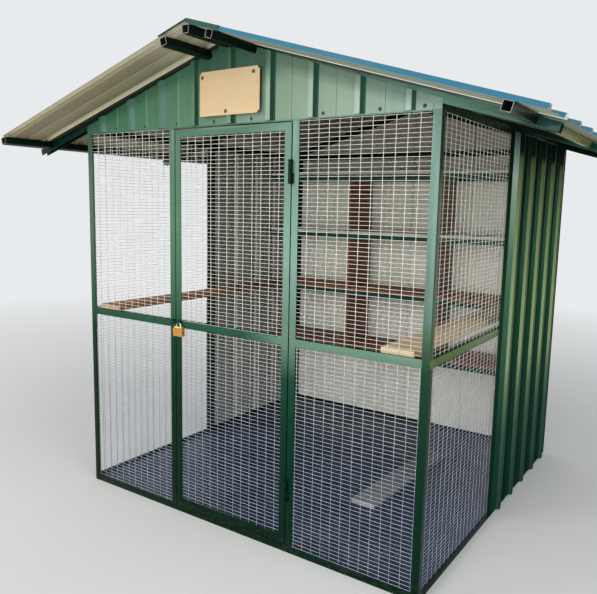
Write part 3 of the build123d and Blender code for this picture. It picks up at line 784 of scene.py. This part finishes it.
def add_field(bm, low, high, flat_axis, outward, grid, seed):
    """One field of mesh: uprights behind, cross wires in front, in the plane across flat_axis."""
    across = 1 - flat_axis
    depth = (low[flat_axis] + high[flat_axis]) / 2
    up_pitch, up_one, row_pitch, row_one = grid

    def at(a, z, d):
        point = Vector((0, 0, z))
        point[across], point[flat_axis] = a, depth + d * outward
        return point

    for k, a in enumerate(wire_places(low[across], high[across], up_pitch, up_one)):
        ends = [at(a, z, -wire_radius) for z in (low.z, high.z)]
        add_wire(bm, *ends, wire_radius, seed + k, wire_wander, 1)
    for k, z in enumerate(wire_places(low.z, high.z, row_pitch, row_one)):
        ends = [at(edge, z, row_radius) for edge in (low[across], high[across])]
        add_wire(bm, *ends, row_radius, seed + 90 + k, row_wander)


# The flat axis and the outward side, then for the low and the high field: the pitch of the
# uprights and the place of one, the pitch of the rows and the height of one.
panels = {
    "mesh_front_left": (1, -1, ((0.0485, -0.9650, 0.01782, 0.0435), (0.0484, -0.9214, 0.01780, 1.0109))),
    "door_mesh": (1, -1, ((0.0493, -0.2755, 0.01780, 0.0556), (0.0490, -0.2709, 0.01772, 1.0242))),
    "mesh_front_right": (1, -1, ((0.0484, 0.3798, 0.01784, 0.0534), (0.0499, 0.4169, 0.01760, 1.0178))),
    "mesh_side_left": (0, -1, ((0.0485, -0.9550, 0.01784, 0.0500), (0.0485, -0.9480, 0.01780, 1.0150))),
    "mesh_side_right": (0, 1, ((0.0480, -0.9558, 0.01782, 0.0496), (0.0482, -0.9413, 0.01770, 1.0168)))}
for count, (node, (flat_axis, outward, grids)) in enumerate(panels.items()):
    bm = bmesh.new()
    fields = sorted(solid_boxes(node), key=lambda pair: pair[0].z)
    for (low, high), grid in zip(fields, grids):
        add_field(bm, low, high, flat_axis, outward, grid, 10 * count + 200 * low.z)
    body = "door" if node == "door_mesh" else "house"
    bmesh.ops.recalc_face_normals(bm, faces=bm.faces)
    piece(node + "_wires", bm, [wire_zinc, upright_zinc], body, [node], sharp=80)

# %% [markdown]
# ## Ribbed sheet
#
# The sheet is rolled, so its section is one bent line: flat pans, trapezoid ribs every 218 mm
# and a low stiffening bead in the middle of each pan. No bend in sheet is a knife edge, so
# each corner of the line is cut back into a small round. The line is then carried along the
# sheet in steps, with a hair of unevenness, because large flat pans are never quite flat and
# their reflections swim. A rule picks the finish of each strip from its place beside a rib.

# %% The section line of the sheet
rib_pitch, rib_height, rib_top, rib_foot = 0.218, 0.018, 0.023, 0.043
bead_height, bead_half = 0.0028, 0.009
bead_flat, bead_place = bead_half * 0.4, rib_pitch / 2    # half of its flat top, its distance from the rib
half_top = rib_top / 2


def section(start, end, ribs, bare_first=False, bare_last=False):
    """Corners of the bent line: where along the sheet, and how high off its pans.

    A bare first or last rib is cut off at the edge of its flat top.
    """
    corners = [] if bare_first else [(start, 0.0)]
    for k, c in enumerate(ribs):
        rib = [(c - rib_foot / 2, 0), (c - half_top, rib_height),
               (c + half_top, rib_height), (c + rib_foot / 2, 0)]
        if bare_first and k == 0:
            rib = rib[1:]
        if bare_last and k == len(ribs) - 1:
            rib = rib[:-1]
        corners += rib
        middle = c + bead_place
        if middle + bead_half < end - 0.01 and (k + 1 < len(ribs) or middle + 0.03 < end):
            corners += [(middle - bead_half, 0), (middle - bead_flat, bead_height),
                        (middle + bead_flat, bead_height), (middle + bead_half, 0)]
    if not bare_last:
        corners.append((end, 0.0))
    return [c for c in corners if start <= c[0] <= end]


def soften(corners, back=0.0022):
    """Each inner corner becomes two points, which reads as a rolled bend."""
    line = [corners[0]]
    for before, here, after in zip(corners, corners[1:], corners[2:]):
        b, h, a = Vector(before), Vector(here), Vector(after)
        for away in (b - h, a - h):
            line.append(tuple(h + away.normalized() * min(back, away.length * 0.4)))
    line.append(corners[-1])
    return line


def beside_rib(s, ribs):
    """How far a place is past the last rib centre before it, from half a rib ahead of it."""
    return (s - ribs[0] + rib_foot / 2) % rib_pitch - rib_foot / 2


def folded_sheet(name, node, slot, line, at, steps, finishes, outer_rule=None, inner_rule=None, edge=0):
    """The line carried along the sheet. The function at says where a point of it lies.

    A rule tells the finish of each strip from its place. Without one the outside wears the
    first finish and the inside the second. Edge is the finish of the two cut ends.
    """
    bm = bmesh.new()
    gap, thick, swell = 0.00015, 0.0007, 0.00016
    layers = []
    for level, unevenness in ((gap, 0.0), (gap + thick, swell)):
        rows = []
        for share in (q / steps for q in range(steps + 1)):
            lift = [level + unevenness * noise.noise(at(s, h + level, share) * 3.1) for s, h in line]
            rows.append([bm.verts.new(at(s, h + up, share)) for (s, h), up in zip(line, lift)])
        layers.append(rows)
    for skin, rows, rule in ((1, layers[0], inner_rule), (0, layers[1], outer_rule)):
        for a, b in zip(rows, rows[1:]):
            for k in range(len(line) - 1):
                strip = bm.faces.new((a[k], a[k + 1], b[k + 1], b[k]))
                middle = (line[k][0] + line[k + 1][0]) / 2
                strip.material_index = finishes.index(rule(middle)) if rule else skin
    under, outer = layers
    for q in (0, -1):
        for k in range(len(line) - 1):
            end = bm.faces.new((under[q][k], under[q][k + 1], outer[q][k + 1], outer[q][k]))
            end.material_index = edge
    for k in (0, -1):
        for q in range(steps):
            bm.faces.new((under[q][k], under[q + 1][k], outer[q + 1][k], outer[q][k]))
    bmesh.ops.recalc_face_normals(bm, faces=bm.faces)
    piece(name, bm, finishes, "house", [node])


# %% [markdown]
# ## The four walls of sheet
#
# The gable sheet hangs above the front top rail and is cut to the slope at its top. The rear
# wall is the same sheet from ground to ridge. The side sheets run from before the middle
# post to the rear corner. Each one only needs to say where a point of the section lies, and
# how far up the sheet goes there. On the gable the right flanks of the ribs carry a dark
# painted reflection and, on the right, the rib tops painted highlights. On the side walls the
# front flanks carry a painted reflection of something bright and green, the first half of each
# pan painted shade, and the second half a painted reflection of the sky.

# %% Gable and rear wall
cut_slope, cut_peak = 0.3236, ridge_soffit - 0.004
shade_band = 0.030                     # how far the painted shade beside a rib of the gable reaches into the pan
front_ribs = [k * rib_pitch for k in range(-4, 5)]


def gable_at(face, outward, bottom):
    def at(s, h, q):
        top = cut_peak - cut_slope * abs(s)
        return Vector((s, face + outward * h, bottom + q * (top - bottom)))
    return at


def gable_skin(s):
    t = beside_rib(s, front_ribs)
    lit_end, dull_end = s > 0.15, s < -0.25
    if half_top < t < shade_band:
        return gable_flank
    if abs(t) < half_top:
        return gable_lit if lit_end else gable_green
    if t < -half_top:
        return gable_flank if lit_end else gable_lit
    if bead_place + bead_flat < t < bead_place + bead_half:
        return gable_lit if dull_end else gable_flank
    return gable_lit if bead_place - bead_half < t < bead_place - bead_flat else gable_green


front_line = soften(section(-0.9995, 0.9995, front_ribs))
front_line = sorted(front_line + [(0.0, rib_height)] + [(c + shade_band, 0.0) for c in front_ribs[4:-1]])
gable_place = gable_at(gable_face, -1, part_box("gable_sheet")[0].z)
folded_sheet("gable_sheet_folded", "gable_sheet", "sheet_green", front_line, gable_place, 6,
             [gable_green, wall_inner, gable_flank, gable_lit], gable_skin)
rear_place = gable_at(-gable_face, 1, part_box("rear_wall_sheet")[0].z)
folded_sheet("rear_wall_folded", "rear_wall_sheet", "sheet_green", front_line, rear_place, 24,
             [wall_green, wall_inner])

# %% Side walls
side_face, under_rafters = 1.0, 1.9585
reflection_strip, sky_half = -0.092, 0.134    # where the painted reflection on the strip by the post starts, where a pan turns to the painted sky reflection
side_ribs = [0.016 + k * rib_pitch for k in range(5)]
wall_finishes = [wall_green, wall_inner, wall_flank_reflection, wall_shade, wall_sky_reflection, wall_pale_reflection, shaded_inner,
                 shadow_inner, wall_top]


def side_skin(s):
    t = beside_rib(s, side_ribs)
    if s < side_ribs[0] - rib_foot / 2:
        return wall_pale_reflection if s > reflection_strip else wall_shade
    if t < half_top:
        return wall_top if t > -half_top else wall_flank_reflection
    return wall_shade if t < sky_half else wall_sky_reflection


def left_inner_skin(s):
    """Inside on the left: painted shadow behind the post, plain primer on the far
    flanks of the ribs, and painted shade elsewhere.
    """
    if s < side_ribs[0] + half_top:
        return shadow_inner
    return wall_inner if half_top < beside_rib(s, side_ribs) < rib_foot / 2 else shaded_inner


for side, node in ((-1, "wall_sheet_left"), (1, "wall_sheet_right")):
    low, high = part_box(node)

    def at(s, h, q, side=side, low=low):
        return Vector((side * (side_face + h), s, low.z + q * (under_rafters - low.z)))

    line = soften(section(low.y, high.y, side_ribs))
    rules = (None, left_inner_skin)
    if side > 0:
        line = sorted(line + [(reflection_strip, 0.0)] + [(c + sky_half, 0.0) for c in side_ribs[:-1]])
        rules = (side_skin, None, wall_finishes.index(wall_shade))
    folded_sheet(node + "_folded", node, "sheet_green", line, at, 24, wall_finishes, *rules)

# %% [markdown]
# ## The roof sheets
#
# The roof is the same section laid with its ribs running down the slope, one sheet on each
# side. The sheets are alike and turned round, so on the left the first rib ends in front with
# its flat top, and on the right it has its flank. The left eave reaches less far out. The cap
# over the ridge is a plain folded strip of an older, darker green, turned down at its ends.

# %% Roof
roof_start, eaves = 0.012, {-1: 1.352, 1: 1.435}
roof_front, roof_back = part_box("roof_sheet_right")[0].y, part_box("roof_sheet_left")[1].y
roof_ribs = [roof_front + rib_foot / 2 + k * rib_pitch for k in range(12)]
joint_band = gable_face + 0.025


def on_roof(side, run, y):
    """The point on the purlins' upper side, a run away from the ridge."""
    return Vector((side * run, y, ridge_soffit - slope * run))


def under_skin(side):
    """Seen from below: cream rib tops and beads painted lit, painted shade where a rib turns away
    and in the pans.

    The strip before the gable is painted lit cream, and the joint with the gable dark as painted
    shadow, wider on the left.
    """
    joint = roof_ribs[1] + rib_foot / 2 if side < 0 else gable_face

    def rule(s):
        t = beside_rib(s, roof_ribs)
        if roof_ribs[1] + half_top < s < joint_band:
            return roof_cream_lit if s < joint else roof_shade
        if t < -half_top:
            return roof_shade
        return roof_cream_lit if t < half_top or abs(t - bead_place) < bead_flat * 0.8 else roof_inner
    return rule


for side, node in ((-1, "roof_sheet_left"), (1, "roof_sheet_right")):
    def at(s, h, q, side=side):
        return on_roof(side, roof_start + q * (eaves[side] - roof_start), s) + roof_up(side) * h

    line = section(roof_front, roof_back, roof_ribs, bare_first=side < 0, bare_last=side > 0)
    line = sorted(soften(line) + [(gable_face, 0.0), (joint_band, 0.0)])
    folded_sheet(node + "_folded", node, "roof_blue", line, at, 16,
                 [roof_blue, roof_inner, roof_cream_lit, roof_shade], None, under_skin(side))

piece("ridge_cap_folded", eased("ridge_cap", 0.0003), [cap_green], "house", ["ridge_cap"])

# %% [markdown]
# ## Sheet screws
#
# Thin sheet is held by self drilling screws with a hexagon head and a rubber washer. They sit
# in the pans along every rail, and in rows over the purlins. On the side walls they are
# painted over. One function makes a screw at a point with its outward direction, and each
# sheet collects its screws in one piece.

# %% Screw
def add_disc(bm, place, outward, radius, height, sides, skin, taper=1.0):
    """A low disc without a back. The rim narrows by the taper and then by its easing."""
    u = outward.orthogonal().normalized()
    v = outward.cross(u)
    rings = [ring(bm, place + outward * up, u * r, v * r, sides) for up, r in (
        (0, radius), (height * 0.8, radius * taper), (height, radius * taper * 0.86))]
    join_rings(bm, rings, skin)
    bm.faces.new(rings[-1]).material_index = skin


def add_screw(bm, place, outward):
    """A rubber washer, a flange and a hexagon head."""
    add_disc(bm, place, outward, 0.0080, 0.0016, 14, 1, 0.92)
    add_disc(bm, place + outward * 0.0012, outward, 0.0066, 0.0010, 14, 0)
    add_disc(bm, place + outward * 0.0018, outward, 0.0046, 0.0042, 6, 0)


# %% Screws in the gable, the walls and the roof
on_sheet = 0.0009                     # from the frame's face to the sheet's outer side


def pan_places(ribs, low, high):
    """Beside each rib, in the pan, clear of the bead."""
    found = [c + 0.060 for c in ribs] + [ribs[0] - 0.05]
    return sorted(p for p in found if low + 0.02 < p < high - 0.02)


def screws(name, metal, places):
    bm = bmesh.new()
    for *place, outward in places:
        add_screw(bm, Vector(place), outward)
    piece(name, bm, [metal, washer_rubber], "house")


screws("gable_screws", screw_green, [
    (x, gable_face - on_sheet, 1.957, Vector((0, -1, 0)))
    for x in (-0.767, -0.552, -0.335, -0.100, 0.117, 0.489, 0.747, 0.931)])
screws("side_wall_screws", screw_dark, [
    (side * (side_face + on_sheet), y, z, Vector((side, 0, 0)))
    for side in (-1, 1) for z in (0.030, 0.985, 1.945) for y in (0.047, 0.265, 0.483, 0.701, 0.919)])
screws("rear_wall_screws", screw_steel, [
    (x, on_sheet - gable_face, z, Vector((0, 1, 0)))
    for x in pan_places(front_ribs, -1, 1) for z in (0.030, 0.985, 1.957)])
screws("roof_screws", screw_steel, [
    (*(on_roof(side, run, y) + roof_up(side) * on_sheet), roof_up(side))
    for side in (-1, 1) for run in (0.7, 1.325) for y in pan_places(roof_ribs, roof_front, roof_back)[::2]])

# %% [markdown]
# ## The plaque
#
# A thin board hangs over the door on three dark screws. Three of its corners are scooped out,
# and its rim is eased and pale all round. It is left bare.

# %% Flat plates with an eased rim
def add_plate(bm, outline, y_front, y_back, ease, skin=0):
    back = [bm.verts.new((x, y_back, z)) for x, z in outline]
    front = [bm.verts.new((x, y_front, z)) for x, z in outline]
    made = [bm.faces.new(back[::-1]), bm.faces.new(front)]
    rim = list(made[1].edges)
    made += [bm.faces.new((back[k - 1], back[k], front[k], front[k - 1])) for k in range(len(outline))]
    for face in made:
        face.material_index = skin
    bmesh.ops.bevel(bm, geom=rim, offset=ease, segments=3, affect="EDGES")


# %% Plaque
low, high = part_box("plaque")
scoop = 0.013
outline = [(low.x, low.z)]
for x, z, turn in ((high.x, low.z, 180), (high.x, high.z, 270), (low.x, high.z, 360)):
    for k in range(6):
        a = math.radians(turn - 18 * k)
        outline.append((x + scoop * math.cos(a), z + scoop * math.sin(a)))
bm = bmesh.new()
add_plate(bm, outline, low.y, high.y, 0.0016)
bmesh.ops.recalc_face_normals(bm, faces=bm.faces)
bm.normal_update()
for face in bm.faces:
    if -0.99 < face.normal.y < -0.05:
        face.material_index = 1
piece("plaque_board", bm, [plaque_tan, plaque_rim], "house", ["plaque"])

bm = bmesh.new()
for x, z in ((-0.150, 2.149), (0.145, 2.151), (-0.012, 1.995)):
    add_disc(bm, Vector((x, low.y + 0.0006, z)), Vector((0, -1, 0)), 0.0092, 0.0024, 16, 0, 0.8)
plaque_metal = plated("plaque_screw", (0.050, 0.048, 0.014), (0.018, 0.020, 0.006), 0.5, 0.5, 0.1)
piece("plaque_screws", bm, [plaque_metal], "house")

# %% [markdown]
# ## The padlock
#
# A small laminated padlock hangs by its shackle in the door's eye. Its body is worn to a
# brownish gold and painted darker as shade, and the shoulder above it is painted bright as a
# highlight. Thin grooves part the plates of the body, and the shackle is a bent rod.

# %% Padlock
low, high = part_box("padlock")
shoulder_top, body_top = high.z - 0.0195, high.z - 0.0275
plates, groove = 6, 0.0003
thick = (high.y - low.y) / plates
bm = bmesh.new()
for k in range(plates):
    inset = 0.0004 if k % 2 else 0.0
    outline = rounded_outline(low.x + inset, high.x - inset, low.z, body_top, 0.0055)
    add_plate(bm, outline, low.y + thick * k, low.y + thick * (k + 1) - groove, 0.0005)
outline = rounded_outline(low.x + 0.007, high.x - 0.007, body_top - 0.002, shoulder_top, 0.003)
add_plate(bm, outline, low.y + 0.002, high.y - 0.002, 0.0012, 1)
bmesh.ops.recalc_face_normals(bm, faces=bm.faces)
piece("padlock_body", bm, [brass_worn_shaded, brass_highlight], "door", ["padlock"])

bow, rod = 0.014, 0.0034              # radius of the shackle's bend and of its rod
sunk, rise = 0.004, 0.010             # how deep its ends sit in the body, how high its bend starts
middle_x, middle_y = (low.x + high.x) / 2, (low.y + high.y) / 2
foot, other_foot = (Vector((middle_x + dx, middle_y, body_top - sunk)) for dx in (-bow, bow))
turns = [math.radians(a) for a in range(0, 181, 15)]
bend_z = body_top + rise
bend = [Vector((middle_x - bow * math.cos(a), middle_y, bend_z + bow * math.sin(a))) for a in turns]
path = [foot, *bend, other_foot]
bm = bmesh.new()
rings = []
for before, point, after in zip([foot, *path], path, [*path[1:], other_foot]):
    u = Vector((0, rod, 0))
    rings.append(ring(bm, point, u, (after - before).normalized().cross(u), 12))
join_rings(bm, rings)
bmesh.ops.recalc_face_normals(bm, faces=bm.faces)
piece("padlock_shackle", bm, [shackle_steel], "door")

# %% [markdown]
# ## Boards, rack and fittings
#
# The rest keeps the shape of its construction solid and only gets eased edges: the rack's
# welded frames, its shelves and dividers, the two side boards, the plank, the hinges and the
# lock eyes. The side boards and the plank show pale end grain where they are cut. The floor
# panel keeps its own mesh.

# %% Eased pieces
def wears_second(node, face):
    """The upper shelves, the right divider and the sawn ends of the side boards and the plank
    look different, and the hinges' knuckles wear painted shade.
    """
    middle = face.calc_center_median()
    if node == "rack_shelves":
        return middle.z > 1.2
    if node == "rack_dividers":
        return middle.x > 0.2
    if node == "hinge_halves_door":
        return middle.x > 0.3285
    return abs(face.normal.y) > 0.6


plain = [
    ("rack_frames", "house", "frame_paint", [rack_gloss], 0.0012),
    ("rack_shelves", "house", "stained_board", [stained_x, shelf_white], 0.0012),
    ("rack_dividers", "house", "stained_board", [stained_z, golden_z], 0.0012),
    ("side_board_left", "house", "stained_board", [stained_y, end_worn], 0.0015),
    ("side_board_right", "house", "pale_board", [pale_y, end_grain], 0.0015),
    ("floor_plank", "house", "pale_board", [plank_y, plank_end], 0.0015),
    # The fixed hinge halves and the door halves' knuckles wear painted shade.
    ("hinge_halves_fixed", "house", "frame_paint", [shade_gloss], 0.0006),
    ("hinge_halves_door", "door", "frame_paint", [hinge_gloss, shade_gloss], 0.0006),
    ("lock_eye_post", "house", "frame_paint", [hinge_gloss], 0.0005),
    ("lock_eye_door", "door", "frame_paint", [hinge_gloss], 0.0005)]
for node, body, slot, finishes, width in plain:
    bm = eased(node, width)
    if len(finishes) > 1:
        for face in bm.faces:
            face.material_index = int(wears_second(node, face))
    piece(node + "_eased", bm, finishes, body, [node])

floor_mesh = nodes["floor_panel"].data
floor_mesh.materials.clear()
floor_mesh.materials.append(floor_board)

# %% [markdown]
# ## Floor, sky and lamps
#
# The object stands on a plain pale floor under an even pale sky. A low, broad lamp in front
# reaches through the mesh to the rear wall, a higher one from the front left gives the main
# direction, and a weaker one from the right opens the shadows. All of it adds up to about one,
# so that a colour looks as it is written. The sky that the camera and mirrors see is a little
# brighter than the one that lights the object, and far off the floor takes the sky's tone.

# %% Floor and sky
sky_tone, seen_sky, lighting_sky = (0.90, 0.92, 0.94, 1), 0.9, 0.55
reach = 60.0
stage_mesh = bpy.data.meshes.new("floor")
corners = [(-reach, -reach, 0), (reach, -reach, 0), (reach, reach, 0), (-reach, reach, 0)]
stage_mesh.from_pydata(corners, [], [(0, 1, 2, 3)])
studio_floor = bpy.data.objects.new("floor", stage_mesh)
bpy.context.scene.collection.objects.link(studio_floor)
pale = Finish("studio_floor", Roughness=0.9)
pale.wear("Base Color", pale.blend(pale.noise(0.6, 2), (0.70, 0.70, 0.69), (0.74, 0.74, 0.73)))
distance = pale.node("ShaderNodeVectorMath", {"operation": "LENGTH"}, {0: pale.place()}, out=1)
veil = pale.between(distance, 2.2, 8.0) * pale.seen_directly()
glow = pale.node("ShaderNodeEmission", None, {"Color": sky_tone, "Strength": seen_sky})
surface = Value(pale, pale.shader.outputs[0])
mixed = pale.node("ShaderNodeMixShader", None, {0: veil, 1: surface, 2: glow})
pale.tree.links.new(mixed.socket, pale.tree.nodes["Material Output"].inputs[0])
stage_mesh.materials.append(pale.material)

world = bpy.data.worlds.new("sky")
world.use_nodes = True
sky = Tree(world.node_tree)
background = sky.tree.nodes["Background"]
background.inputs["Color"].default_value = sky_tone
strength = sky.seen_directly() * (seen_sky - lighting_sky) + lighting_sky
sky.tree.links.new(strength.socket, background.inputs["Strength"])
bpy.context.scene.world = world
print("sky strength", lighting_sky, "seen as", seen_sky)

# %% Lamps
for name, place, aim, size, power, tint in (
        ("front", (0.5, -9.0, 2.4), 1.1, 5.0, 420, (1.0, 0.99, 0.96)),
        ("key", (-5.5, -7.0, 6.5), 1.0, 4.0, 300, (1.0, 0.98, 0.94)),
        ("fill", (7.0, -3.0, 7.0), 1.0, 5.0, 260, (0.94, 0.98, 1.0))):
    data = bpy.data.lights.new(name, "AREA")
    data.shape, data.size, data.size_y = "RECTANGLE", size, size
    data.energy, data.color = power, tint
    lamp = bpy.data.objects.new(name, data)
    lamp.location = place
    lamp.rotation_euler = (Vector((0, 0, aim)) - Vector(place)).to_track_quat("-Z", "Y").to_euler()
    bpy.context.scene.collection.objects.link(lamp)
    print("lamp", name, "at", place)
